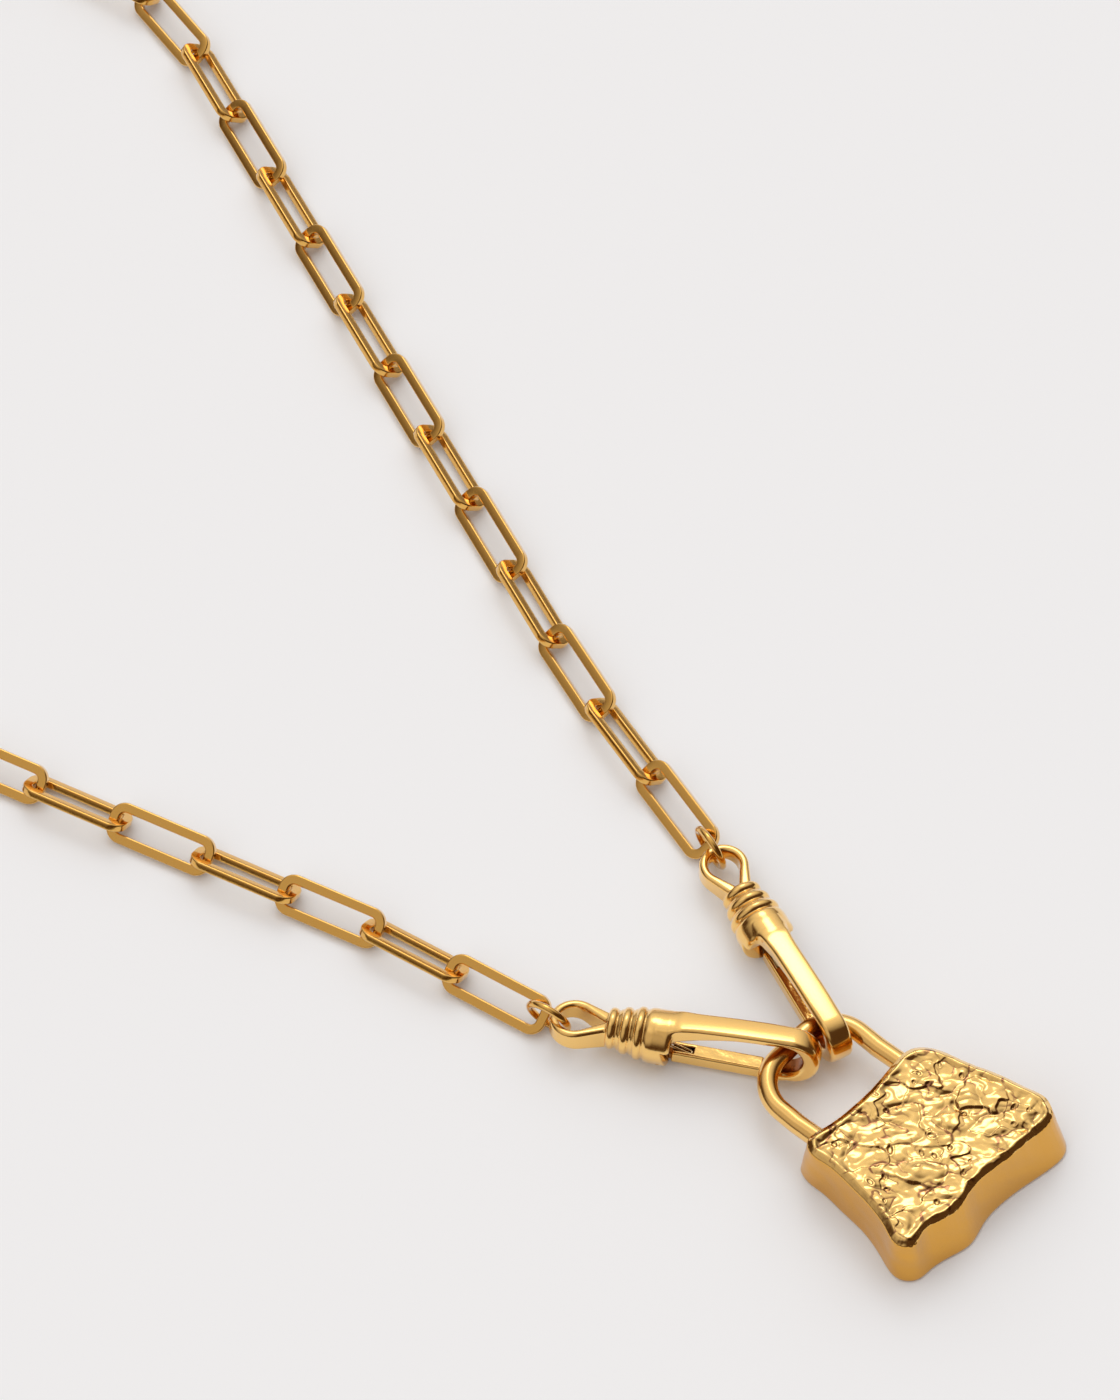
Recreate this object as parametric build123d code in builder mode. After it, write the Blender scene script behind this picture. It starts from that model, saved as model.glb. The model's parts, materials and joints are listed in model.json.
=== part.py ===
from build123d import *
import os
from math import acos, asin, ceil, cos, floor, hypot, radians, sin, sqrt, tan

# Padlock pendant on a paperclip chain with two dog-clip clasps, lying on a table.
# Millimetres. Z is up from the table, Y runs from the padlock towards the neck, and the
# origin is the middle of the padlock's flat back.

# Chain
link_pitch = 9.0
link_play = 0.16
link_band = 0.95
link_thickness = 0.76
link_width = 4.0
link_corner = 1.55
link_bevel = 0.14
link_tilt = 35.0
table_gap = 0.02

# Jump rings
ring_inner = 3.4
ring_wire = 0.7
ring_lean = 8.0
ring_reach = 1.15

# Clip: eye, neck beads and collar, along the clip's own axis
eye_width = 4.7
eye_length = 5.5
eye_band = 0.85
eye_height = 2.7
eye_tip_height = 1.7
eye_soft = 0.3
eye_drop = 0.4
bead_count = 3
bead_pitch = 1.3
bead_share = 0.64
bead_first = 1.95
bead_step = 0.28
bead_groove = 0.34
narrow_drop = 0.4
collar_radius = 2.6
collar_length = 2.2
collar_round = 0.5
collar_slant = 0.8

# Clip: strap, hook and nose
strap_width = 2.4
strap_soft = 0.36
strap_root = 2.56
strap_lift = 1.5
hook_length = 19.95
nose_length = 5.3
hook_height = 0.85
hook_outer = 2.7
hook_inner = 1.68
hook_shift = 0.65
nose_gap = 0.1
nose_turn = 2.0
hole_lift = 4.0

# Thickness of the strap from the hook back to the collar
strap_sections = [
    # distance from the collar as a share of the gate's length, thickness
    (0.743, 1.04),
    (0.398, 1.40),
    (-0.047, 2.05),
]

# Clip: gate, pin and spring
gate_width = 1.7
gate_top = 1.0
gate_bottom = 2.42
gate_soft = 0.3
gate_belly = 0.5
gate_clearance = 0.08
gate_tongue = 0.9
gate_knuckle = 0.75
pin_drop = 1.5
pin_inset = 0.95
pin_diameter = 0.8
pin_clearance = 0.03
pin_recess = 0.15
slot_ceiling = 0.4
slot_width = 0.8
slot_length = 2.1
slot_depth = 0.55
spring_wire = 0.22
spring_spacing = 0.4
spring_rise = 1.15
spring_lift = 0.2

# Padlock body and shackle
body_thickness = 6.2
body_half_width = 10.0
body_half_height = 7.0
foot_round = 0.35
rim_round = 0.9
rim_drop = 0.7
relief_depth = 0.42
fold_width = 2.2
fold_stretch = 1.6
fold_share = 0.68
fine_folds = 2.3
points_around = 96
front_rings = 12
rim_rings = 3
shackle_wire = 1.95
shackle_span = 11.0
shackle_middle = -0.5
shackle_top = 15.75
shackle_corner = 3.8
shackle_height = 3.3
shackle_root = 5.9
shackle_splay = 0.35
shackle_bend = 9.9

# How the two clips lie: heading from the shackle's axis, roll, and where each hook takes the shackle
clip_heading = {"left": 31.9, "right": -19.1}
clip_roll = {"left": 14.0, "right": 2.0}
clip_hold = {"left": -1.75, "right": 3.3}
hook_slack = {"left": 0.86, "right": 1.1}

# Outline of the padlock's front and back, clockwise from the top left corner, as shares
# of the half width and the half height
body_outline = [
    # front x, front y, back x, back y
    (-0.760, 1.050, -0.800, 1.080),
    (-0.560, 1.030, -0.565, 1.080),
    (-0.240, 0.965, -0.240, 1.030),
    (0.050, 0.957, 0.050, 1.020),
    (0.380, 1.000, 0.380, 1.045),
    (0.600, 0.970, 0.620, 1.015),
    (0.745, 0.757, 0.785, 0.785),
    (0.840, 0.343, 0.880, 0.357),
    (0.940, -0.043, 0.980, -0.057),
    (1.030, -0.514, 1.070, -0.560),
    (1.060, -0.820, 1.120, -1.030),
    (0.965, -1.010, 1.020, -1.260),
    (0.690, -1.040, 0.800, -1.290),
    (0.400, -1.010, 0.500, -1.214),
    (0.130, -0.957, 0.240, -1.164),
    (-0.100, -0.960, -0.060, -1.180),
    (-0.320, -1.015, -0.290, -1.250),
    (-0.520, -0.965, -0.520, -1.180),
    (-0.700, -0.900, -0.740, -1.115),
    (-0.890, -0.935, -0.905, -1.080),
    (-0.975, -0.780, -1.010, -0.900),
    (-0.925, -0.500, -0.970, -0.571),
    (-0.855, -0.100, -0.885, -0.143),
    (-0.825, 0.314, -0.860, 0.314),
    (-0.820, 0.650, -0.845, 0.643),
    (-0.825, 0.930, -0.845, 0.943),
]

# The chain's chosen points on the table: a slight bend in each strand, and the corners behind the neck
left_strand = (-17.3, 52.5)
right_strand = (15.7, 57.6)
left_corner = -57.0
right_corner = 57.2
back_radius = 28.0
route_step = 0.25
link_count = 40


beads_length = bead_count * bead_pitch
collar_end = beads_length + collar_length
strap_start = beads_length + collar_round
hook_x = hook_length - hook_outer
hole_x = hook_x - hook_shift
pin_x = collar_end - pin_inset
gate_end = hook_length - nose_length
gate_length = gate_end - collar_end
tongue_slot = gate_tongue / 2 + gate_clearance
slot_reach = gate_knuckle + 2 * gate_clearance
link_inner = link_pitch + link_play
link_length = link_inner + 2 * link_band
bar_to_joint = (link_length - link_band - link_pitch) / 2
ring_height = (ring_inner + ring_wire) / 2 * cos(radians(ring_lean)) + ring_wire / 2 + table_gap
link_reach = link_width / 2 * sin(radians(link_tilt))
link_height = link_reach + link_thickness / 2 * cos(radians(link_tilt)) + table_gap


def bead_outline():
    """Half section of the neck's beads: a wide arc and a narrow one for each bead."""
    arcs = []
    for index in range(bead_count):
        crest = bead_first + index * bead_step
        start = index * bead_pitch
        end = start + bead_pitch
        step = start + bead_pitch * bead_share
        valley = crest - bead_groove
        narrow_crest = crest - bead_groove * narrow_drop
        arcs.append(((start, valley), ((start + step) / 2, crest), (step, valley)))
        arcs.append(((step, valley), ((step + end) / 2, narrow_crest), (end, valley + bead_step)))
    return arcs


def strap_top(x):
    """Height of the strap's upper side, an even bow from the collar to the bend."""
    lift = radians(strap_lift)
    bend_start = hook_x - hook_outer * sin(lift)
    bend_top = hook_height + hook_outer * cos(lift)
    back = bend_start - x
    reach = bend_start - strap_start
    bow = bend_top - strap_root - tan(lift) * reach
    return bend_top - tan(lift) * back - bow * (back / reach) ** 2


def outline_points(level):
    """The padlock's outline, 0 for its front and 2 for its back."""
    return [(row[level] * body_half_width, row[level + 1] * body_half_height) for row in body_outline]


def edge_distance(x, y):
    """Distance of a point on the front from the front's outline."""
    nearest = body_half_width
    points = outline_points(0)
    for (ax, ay), (bx, by) in zip(points, points[1:] + points[:1]):
        run = hypot(bx - ax, by - ay)
        share = min(max(((x - ax) * (bx - ax) + (y - ay) * (by - ay)) / run ** 2, 0.0), 1.0)
        nearest = min(nearest, hypot(x - ax - share * (bx - ax), y - ay - share * (by - ay)))
    return nearest


def scatter(i, j):
    """A fixed, uneven number from 0 to 1 for each cell."""
    value = sin(i * 12.9898 + j * 78.233) * 43758.5453
    return value - floor(value)


def smooth_noise(u, v):
    """Scatter, blended smoothly between cells."""
    i = floor(u)
    j = floor(v)
    s = (u - i) ** 2 * (3 - 2 * (u - i))
    t = (v - j) ** 2 * (3 - 2 * (v - j))
    low = scatter(i, j) * (1 - s) + scatter(i + 1, j) * s
    high = scatter(i, j + 1) * (1 - s) + scatter(i + 1, j + 1) * s
    return low * (1 - t) + high * t


def front_height(x, y):
    """Height of the crumpled front: diagonal folds in two sizes, rounded off at the rim."""
    along = (x - y) / sqrt(2) / (fold_width * fold_stretch)
    across = (x + y) / sqrt(2) / fold_width
    folds = fold_share * smooth_noise(along, across)
    folds += (1 - fold_share) * smooth_noise(fine_folds * across, fine_folds * along)
    crease = 1 - abs(2 * folds - 1)
    rim = max(1 - edge_distance(x, y) / rim_round, 0.0)
    return body_thickness - relief_depth * crease ** 2 - rim_drop * rim ** 2


def bar_at(x):
    """Y of the shackle's centre line at x, on its top bar or its rounded corner."""
    beyond = max(abs(x - shackle_middle) - shackle_span / 2 + shackle_corner, 0.0)
    return shackle_top - shackle_corner + sqrt(shackle_corner ** 2 - beyond ** 2)


def bar_slope(x):
    """Angle from the X axis of the shackle's centre line at x, in radians."""
    beyond = max(abs(x - shackle_middle) - shackle_span / 2 + shackle_corner, 0.0)
    turn = asin(beyond / shackle_corner)
    return -turn if x > shackle_middle else turn


def clip_plane(side):
    """Frame of a clip: X from eye to hook, Z up through the strap, origin where the beads start."""
    heading = radians(clip_heading[side])
    roll = radians(clip_roll[side])
    along = Vector(sin(heading), -cos(heading), 0)
    across = Vector(cos(heading), sin(heading), 0)
    hold = clip_hold[side]
    bar_reach = shackle_wire / 2 / cos(heading - bar_slope(hold))
    held = hole_x + hook_inner - hook_slack[side] - bar_reach
    middle = Vector(hold, bar_at(hold), collar_radius + table_gap)
    up = Vector(0, 0, 1) * cos(roll) + across * sin(roll)
    return Plane(origin=middle - along * held, x_dir=along, z_dir=up)


def route_points(start, end, reach):
    """The chain's path on the table as close points: two strands, two round corners, a back at reach."""
    corners = [left_strand, (left_corner, reach), (right_corner, reach), right_strand]
    points = [Vector(*start), Vector(*left_strand)]
    for before, corner, after in (corners[:3], corners[1:]):
        middle = Vector(*corner)
        into = (middle - Vector(*before)).normalized()
        out = (Vector(*after) - middle).normalized()
        turn = acos(into.dot(out))
        centre = middle - into * back_radius * tan(turn / 2) + Vector(into.Y, -into.X) * back_radius
        steps = int(back_radius * turn / route_step)
        for step in range(steps + 1):
            angle = turn * step / steps
            points.append(centre + (Vector(-into.Y, into.X) * cos(angle) + into * sin(angle)) * back_radius)
    return points + [Vector(*right_strand), Vector(*end)]


def chain_joints(points):
    """Points one link pitch apart along the route, and the distance that the last one overshoots the end."""
    joints = [points[0]]
    index = 0
    while len(joints) <= link_count:
        here = joints[-1]
        while index < len(points) - 1 and (points[index + 1] - here).length < link_pitch:
            index += 1
        if index == len(points) - 1:
            last = (points[-1] - points[-2]).normalized()
            ahead = (here - points[-1]).dot(last)
            joints.append(points[-1] + last * (ahead + link_pitch))
            continue
        base = points[index]
        step = (points[index + 1] - base).normalized()
        offset = (base - here).dot(step)
        ahead = sqrt(offset ** 2 - (base - here).length ** 2 + link_pitch ** 2) - offset
        joints.append(base + step * ahead)
    return joints, (joints[-1] - points[-1]).dot((points[-1] - points[-2]).normalized())


def fitted_joints(start, end):
    """Moves the back of the loop until the links exactly fill the route."""
    near = max(left_strand[1], right_strand[1]) + back_radius
    far = near + link_count * link_pitch / 2
    while far - near > route_step / 1000:
        reach = (near + far) / 2
        joints, overshoot = chain_joints(route_points(start, end, reach))
        if overshoot > 0:
            near = reach
        else:
            far = reach
    return joints


def link_plane(number):
    """Frame of a link: X along the chain, Z out of its face, tipped left and right by turns."""
    ahead = joints[number] - joints[number - 1]
    run = ahead.normalized()
    lean = radians(link_tilt if number % 2 else -link_tilt)
    middle = joints[number - 1] + ahead / 2 + Vector(0, 0, link_height)
    return Plane(origin=middle, x_dir=run, z_dir=Vector(-run.Y * sin(lean), run.X * sin(lean), cos(lean)))


def ring_plane(side):
    """Frame of a jump ring, between the clip's eye and the chain's end."""
    run = strand_run[side]
    lean = radians(ring_lean)
    middle = eye_end[side] + run * ring_reach / 2
    origin = Vector(middle.X, middle.Y, ring_height)
    return Plane(origin=origin, x_dir=run, z_dir=Vector(run.Y * cos(lean), -run.X * cos(lean), sin(lean)))


def place(piece, plane, label):
    """Writes a copy of a piece, standing in the given frame, under its own name."""
    placed = piece.part.moved(plane.location)
    placed.label = label
    export_step(placed, f"parts/{label}.step")


def outline_ring(share_of_front, inset, height):
    """A ring of points around the padlock, between its back's outline and its front's."""
    ring = []
    for step in range(points_around):
        back = back_outline @ (step / points_around)
        front = front_outline @ (step / points_around)
        point = back + (front - back) * share_of_front
        ring.append(Vector(point.X, point.Y, height) - Vector(point.X, point.Y) * (inset / point.length))
    return ring


def front_ring(share):
    """A ring of points on the crumpled front, the outline shrunk to a share of its size."""
    spots = [(front_outline @ (step / points_around)) * share for step in range(points_around)]
    return [Vector(spot.X, spot.Y, front_height(spot.X, spot.Y)) for spot in spots]


def band_faces(low, high):
    """Triangles between two rings, the low one further out."""
    faces = []
    for step in range(points_around):
        after = (step + 1) % points_around
        faces.append(Face(Wire.make_polygon([low[step], low[after], high[after]])))
        faces.append(Face(Wire.make_polygon([low[step], high[after], high[step]])))
    return faces


# Padlock: a drafted body with a flat back and a crumpled front, and its shackle, in one cast piece
front_outline = Spline(*outline_points(0), periodic=True)
back_outline = Spline(*outline_points(2), periodic=True)
rim_share = 1 - rim_round / body_half_height
front_shares = [1 - (1 - rim_share) * step / rim_rings for step in range(rim_rings)]
front_shares += [rim_share * (1 - step / front_rings) for step in range(front_rings)]
rings = [
    outline_ring(0, foot_round, 0),
    outline_ring(0, foot_round * (1 - sqrt(0.5)), foot_round * (1 - sqrt(0.5))),
    outline_ring(foot_round / body_thickness, 0, foot_round),
]
rings += [front_ring(share) for share in front_shares]
peak = Vector(0, 0, front_height(0, 0))
body_faces = [Face(Wire.make_polygon(rings[0]))]
for low, high in zip(rings, rings[1:]):
    body_faces += band_faces(low, high)
for here, after in zip(rings[-1], rings[-1][1:] + rings[-1][:1]):
    body_faces.append(Face(Wire.make_polygon([here, after, peak])))

with BuildPart() as padlock:
    add(Solid(Shell(body_faces)))
    # Round-wire shackle, its legs sunk into the body
    with BuildLine() as shackle_line:
        left_leg = shackle_middle - shackle_span / 2
        right_leg = shackle_middle + shackle_span / 2
        FilletPolyline(
            (left_leg + shackle_splay, shackle_root, shackle_height),
            (left_leg, shackle_bend, shackle_height),
            (left_leg, shackle_top, shackle_height),
            (right_leg, shackle_top, shackle_height),
            (right_leg, shackle_bend, shackle_height),
            (right_leg + shackle_splay, shackle_root, shackle_height),
            radius=shackle_corner,
        )
    with BuildSketch(Plane(origin=shackle_line.line @ 0, z_dir=shackle_line.line % 0)):
        Circle(shackle_wire / 2)
    sweep(path=shackle_line.wires()[0])

# Clip body: one cast clasp in its own frame
with BuildPart() as clip_body:
    # Teardrop eye, a flat band standing on its edge, lower at its tip
    eye_floor = Plane.XY.offset(-eye_drop - eye_height / 2)
    loop_radius = eye_width / 2
    with BuildSketch(eye_floor):
        with Locations((loop_radius - eye_length, 0)):
            Circle(loop_radius)
        with Locations((bead_pitch / 2, 0)):
            Circle(eye_band)
        make_hull()
    extrude(amount=eye_height)
    with BuildSketch(eye_floor):
        with Locations((loop_radius - eye_length, 0)):
            Circle(loop_radius - eye_band)
        with Locations((-eye_band / 2, 0)):
            Circle(eye_band / 8)
        make_hull()
    extrude(amount=eye_height, mode=Mode.SUBTRACT)
    with BuildSketch(Plane.XZ):
        with BuildLine():
            Polyline(
                (bead_pitch, -eye_drop - eye_height / 2),
                (bead_pitch, -eye_drop + eye_height / 2),
                (-eye_length, -eye_drop + eye_tip_height / 2),
                (-eye_length, -eye_drop - eye_tip_height / 2),
                close=True,
            )
        make_face()
    extrude(amount=eye_width, both=True, mode=Mode.INTERSECT)
    eye_sides = clip_body.faces().sort_by(Axis.Z)
    fillet(eye_sides[0].edges() + eye_sides[-1].edges(), min(eye_soft, 0.42 * min(eye_band, eye_tip_height)))
    # Strap, hook and nose in one side outline
    with BuildSketch(Plane.XZ):
        with BuildLine():
            bend_turn = 180 + strap_lift + nose_turn
            bend = CenterArc((hook_x, hook_height), hook_outer, 90 + strap_lift, -bend_turn)
            middle_x = (strap_start + (bend @ 0).X) / 2
            ThreePointArc((strap_start, strap_root), (middle_x, strap_top(middle_x)), bend @ 0)
            lip = Line(bend @ 1, (gate_end + nose_gap, -gate_bottom))
            tip = Line(lip @ 1, (gate_end + nose_gap, -gate_top))
            inner = Line(tip @ 1, (hole_x, hook_height - hook_inner))
            hole = CenterArc((hole_x, hook_height), hook_inner, -90, 180 + hole_lift)
            sections = [(collar_end + gate_length * share, thickness) for share, thickness in strap_sections]
            under = Spline(hole @ 1, *[(x, strap_top(x) - thickness) for x, thickness in sections])
            root = Line(under @ 1, (strap_start, 0))
            Line(root @ 1, (strap_start, strap_root))
        make_face()
    extrude(amount=strap_width / 2, both=True)
    flat_sides = clip_body.faces().filter_by(Axis.Y).sort_by(SortBy.AREA)[-2:]
    fillet([edge for face in flat_sides for edge in face.edges() if edge.length > 3 * strap_soft], strap_soft)
    # Beads and collar, turned about the axis
    with BuildSketch(Plane.XZ):
        with BuildLine():
            for first, middle, last in bead_outline():
                ThreePointArc(first, middle, last)
            Polyline(
                bead_outline()[-1][-1],
                (beads_length + collar_round, collar_radius),
                (collar_end - collar_round, collar_radius),
                (collar_end, collar_radius - collar_round / 2),
                (collar_end, 0),
                (0, 0),
                bead_outline()[0][0],
            )
        make_face()
    revolve(axis=Axis.X)
    # Slanted end of the collar below the strap
    with BuildSketch(Plane.XZ):
        with BuildLine():
            Polyline(
                (collar_end, -collar_radius - table_gap),
                (collar_end - collar_slant, slot_ceiling),
                (collar_end + collar_radius, slot_ceiling),
                (collar_end + collar_radius, -collar_radius - table_gap),
                close=True,
            )
        make_face()
    extrude(amount=collar_radius, both=True, mode=Mode.SUBTRACT)
    # Slot for the gate's tongue and its springs
    with BuildSketch(Plane.XZ):
        with Locations((pin_x - slot_reach, -collar_radius)):
            Rectangle(
                slot_reach + pin_inset + gate_clearance,
                slot_ceiling + collar_radius,
                align=(Align.MIN, Align.MIN),
            )
    extrude(amount=tongue_slot, both=True, mode=Mode.SUBTRACT)
    # Hole for the hinge pin, right through the collar
    with BuildSketch(Plane.XZ):
        with Locations((pin_x, -pin_drop)):
            Circle(pin_diameter / 2)
    extrude(amount=collar_radius, both=True, mode=Mode.SUBTRACT)

# Gate: a sprung lever from the collar to the nose, with a knuckle on the pin
with BuildPart() as gate:
    with BuildSketch(Plane.XZ):
        with BuildLine():
            Polyline(
                (collar_end + gate_clearance, -gate_bottom),
                (gate_end, -gate_bottom),
                (gate_end, -gate_top),
                (collar_end + gate_clearance, -gate_top),
                close=True,
            )
        make_face()
    extrude(amount=gate_width / 2, both=True)
    fillet(gate.edges().filter_by(Axis.X).group_by(Axis.Z)[0], gate_belly)
    fillet(gate.edges().filter_by(Axis.X).group_by(Axis.Z)[-1], gate_soft)
    with BuildSketch(Plane.XY.offset(-gate_top)):
        with Locations((collar_end + slot_length / 2, 0)):
            Rectangle(slot_length, slot_width)
    extrude(amount=-slot_depth, mode=Mode.SUBTRACT)
    with BuildSketch(Plane.XZ):
        with Locations((pin_x, -pin_drop)):
            Circle(gate_knuckle)
        with Locations((pin_x, -pin_drop - gate_knuckle)):
            Rectangle(pin_inset + 2 * gate_clearance, gate_knuckle, align=(Align.MIN, Align.MIN))
    extrude(amount=gate_tongue / 2, both=True)
    with BuildSketch(Plane.XZ):
        with Locations((pin_x, -pin_drop)):
            Circle(pin_diameter / 2 + pin_clearance)
    extrude(amount=gate_width, both=True, mode=Mode.SUBTRACT)

# Hinge pin, a press fit in the collar
with BuildPart() as gate_pin:
    pin_length = 2 * (sqrt(collar_radius ** 2 - (pin_drop + pin_diameter / 2) ** 2) - pin_recess)
    with BuildSketch(Plane.XZ):
        with Locations((pin_x, -pin_drop)):
            Circle(pin_diameter / 2)
    extrude(amount=pin_length / 2, both=True)

# Spring: a hairpin of thin wire from the collar's slot down into the gate's slot
with BuildPart() as gate_spring:
    spring_top = Vector(pin_x - spring_wire, 0, spring_rise - pin_drop)
    channel_floor = -gate_top - slot_depth
    spring_foot = Vector(collar_end + slot_length - spring_spacing, 0, channel_floor + spring_lift)
    spring_run = spring_foot - spring_top
    spring_plane = Plane(origin=spring_top, x_dir=spring_run, z_dir=spring_run.cross(Vector(0, 1, 0)))
    with BuildLine(spring_plane) as hairpin:
        Line((0, spring_spacing / 2), (spring_run.length, spring_spacing / 2))
        ThreePointArc(
            (spring_run.length, spring_spacing / 2),
            (spring_run.length + spring_spacing / 2, 0),
            (spring_run.length, -spring_spacing / 2),
        )
        Line((spring_run.length, -spring_spacing / 2), (0, -spring_spacing / 2))
    with BuildSketch(Plane(origin=hairpin.line @ 0, z_dir=hairpin.line % 0)):
        Circle(spring_wire / 2)
    sweep(path=hairpin.wires()[0])

# Jump ring
with BuildPart() as jump_ring:
    with BuildSketch(Plane.XZ):
        with Locations(((ring_inner + ring_wire) / 2, 0)):
            Circle(ring_wire / 2)
    revolve(axis=Axis.Z)

# Chain link: a flat rounded rectangle with bevelled edges
with BuildPart() as link:
    with BuildSketch(Plane.XY.offset(-link_thickness / 2)):
        RectangleRounded(link_length, link_width, link_corner)
        RectangleRounded(
            link_length - 2 * link_band,
            link_width - 2 * link_band,
            link_corner - link_band,
            mode=Mode.SUBTRACT,
        )
    extrude(amount=link_thickness)
    chamfer(link.edges().filter_by(Axis.Z, reverse=True), link_bevel)

# The route of the chain, from the left clip's eye round behind the neck to the right clip's eye
eye_end = {}
strand_run = {}
for side, strand in (("left", left_strand), ("right", right_strand)):
    eye_end[side] = clip_plane(side).from_local_coords(Vector(eye_band / 2 - eye_length, 0, -eye_drop))
    strand_run[side] = (Vector(*strand) - Vector(eye_end[side].X, eye_end[side].Y)).normalized()
chain_ends = [
    Vector(eye_end[side].X, eye_end[side].Y) + strand_run[side] * (ring_reach + bar_to_joint)
    for side in ("left", "right")
]
joints = fitted_joints(*chain_ends)

os.makedirs("parts", exist_ok=True)
padlock.part.label = "padlock"
export_step(padlock.part, "parts/padlock.step")
for side in ("left", "right"):
    place(clip_body, clip_plane(side), f"clip_body_{side}")
    place(gate, clip_plane(side), f"clip_gate_{side}")
    place(gate_pin, clip_plane(side), f"gate_pin_{side}")
    place(gate_spring, clip_plane(side), f"gate_spring_{side}")
    place(jump_ring, ring_plane(side), f"jump_ring_{side}")
for number in range(1, link_count + 1):
    place(link, link_plane(number), f"link_{number:02d}")
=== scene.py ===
import json
import math

import bmesh
import bpy
import numpy as np
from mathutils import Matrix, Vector


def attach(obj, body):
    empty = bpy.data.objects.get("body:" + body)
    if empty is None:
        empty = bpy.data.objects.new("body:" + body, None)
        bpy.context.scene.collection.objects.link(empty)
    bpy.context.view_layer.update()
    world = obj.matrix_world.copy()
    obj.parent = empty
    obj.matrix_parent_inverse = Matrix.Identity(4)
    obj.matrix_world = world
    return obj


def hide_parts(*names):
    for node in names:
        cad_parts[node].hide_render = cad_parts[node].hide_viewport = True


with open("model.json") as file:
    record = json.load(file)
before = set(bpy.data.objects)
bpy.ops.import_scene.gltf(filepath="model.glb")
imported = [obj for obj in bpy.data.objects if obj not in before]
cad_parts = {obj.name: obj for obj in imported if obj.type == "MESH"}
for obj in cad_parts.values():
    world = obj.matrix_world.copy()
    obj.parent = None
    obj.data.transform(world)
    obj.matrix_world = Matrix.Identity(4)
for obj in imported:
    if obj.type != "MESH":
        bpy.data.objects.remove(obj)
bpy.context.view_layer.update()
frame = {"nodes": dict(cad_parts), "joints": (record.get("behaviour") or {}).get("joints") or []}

# Padlock pendant on a paperclip chain with two dog-clip clasps, lying on a pale table.
# Sizes are in millimetres, and become metres when a mesh is made. Angles are in degrees.
# Each clip has a frame of its own: X runs from its beads to its hook, Y across it, and Z up.
MM = 0.001

# Chain and jump rings
link_count = 40
link_pitch = 9.0
link_play = 0.16
link_band = 0.95
link_thickness = 0.76
link_length = link_pitch + link_play + 2 * link_band
link_width = 4.0
link_corner = 1.55
link_bevel = 0.14
link_tilt = 35.0
ring_inner = 3.4
ring_wire = 0.7

# Clip: eye, beads and collar
eye_width = 4.7
eye_length = 5.5
eye_band = 0.85
eye_height = 2.7
eye_tip_height = 1.7
eye_soft = 0.4
eye_drop = 0.4
bead_count = 3
bead_pitch = 1.3
bead_share = 0.64
bead_first = 1.95
bead_step = 0.28
bead_groove = 0.25
bead_fullness = 0.62
narrow_drop = 0.3
beads_length = bead_count * bead_pitch
collar_radius = 2.6
collar_length = 2.2
collar_round = 0.5
collar_slant = 0.8
collar_end = beads_length + collar_length

# Clip: strap, hook and nose
strap_start = beads_length + collar_round
strap_width = 2.4
strap_soft = 0.33
strap_crown = 0.09
strap_root = 2.56
strap_lift = 1.5
strap_seat = 0.03
shoulder_width = 0.6
shoulder_reach = 4.5
hook_length = 19.95
hook_height = 0.85
hook_outer = 2.7
hook_inner = 1.68
hook_shift = 0.65
hook_soft = 0.44
hook_x = hook_length - hook_outer
hole_x = hook_x - hook_shift
hole_lift = 4.0
nose_length = 5.3
nose_gap = 0.1
nose_turn = 2.0
nose_soft = 0.3
nose_tip_soft = 0.2
strap_sections = [
    # distance from the collar as a share of the gate's length, thickness
    (0.743, 1.04),
    (0.398, 1.40),
    (-0.047, 2.05),
]

# Clip: gate, pin and slot
gate_width = 1.7
gate_top = 1.0
gate_bottom = 2.42
gate_end = hook_length - nose_length
gate_length = gate_end - collar_end
gate_tongue = 0.9
gate_knuckle = 0.75
gate_clearance = 0.08
gate_soft = 0.24
gate_belly_soft = 0.46
pin_drop = 1.5
pin_inset = 0.95
pin_hole = 0.43
pin_mark = 0.16
pin_x = collar_end - pin_inset
slot_ceiling = 0.4
slot_width = 0.8
slot_length = 2.1
slot_depth = 0.55

# Clip: the boxes in which its two skins are looked for, and the grids' steps
clip_room = (-5.8, -2.9, -2.9), (20.3, 2.9, 3.9)
clip_step = 0.08
gate_room = (4.0, -1.1, -2.8), (14.9, 1.1, -0.5)
gate_step = 0.05

# Padlock
body_thickness = 6.2
body_half_width = 10.0
body_half_height = 7.0
body_foot = 0.35
body_rim = 0.60
body_edge = 0.06
body_outline = [
    # front x, front y, back x, back y, as shares of the half width and half height
    (-0.760, 1.050, -0.800, 1.080), (-0.560, 1.030, -0.565, 1.080), (-0.240, 0.965, -0.240, 1.030),
    (0.050, 0.957, 0.050, 1.020), (0.380, 1.000, 0.380, 1.045), (0.600, 0.970, 0.620, 1.015),
    (0.745, 0.757, 0.785, 0.785), (0.840, 0.343, 0.880, 0.357), (0.940, -0.043, 0.980, -0.057),
    (1.030, -0.514, 1.070, -0.560), (1.060, -0.820, 1.120, -1.030), (0.965, -1.010, 1.020, -1.260),
    (0.690, -1.040, 0.800, -1.290), (0.400, -1.010, 0.500, -1.214), (0.130, -0.957, 0.240, -1.164),
    (-0.100, -0.960, -0.060, -1.180), (-0.320, -1.015, -0.290, -1.250), (-0.520, -0.965, -0.520, -1.180),
    (-0.700, -0.900, -0.740, -1.115), (-0.890, -0.935, -0.905, -1.080), (-0.975, -0.780, -1.010, -0.900),
    (-0.925, -0.500, -0.970, -0.571), (-0.855, -0.100, -0.885, -0.143), (-0.825, 0.314, -0.860, 0.314),
    (-0.820, 0.650, -0.845, 0.643), (-0.825, 0.930, -0.845, 0.943),
]
shackle_wire = 1.95
shackle_span = 11.0
shackle_middle = -0.5
shackle_top = 15.75
shackle_corner = 3.8
shackle_height = 3.3
shackle_root = 5.9
shackle_splay = 0.35
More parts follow.
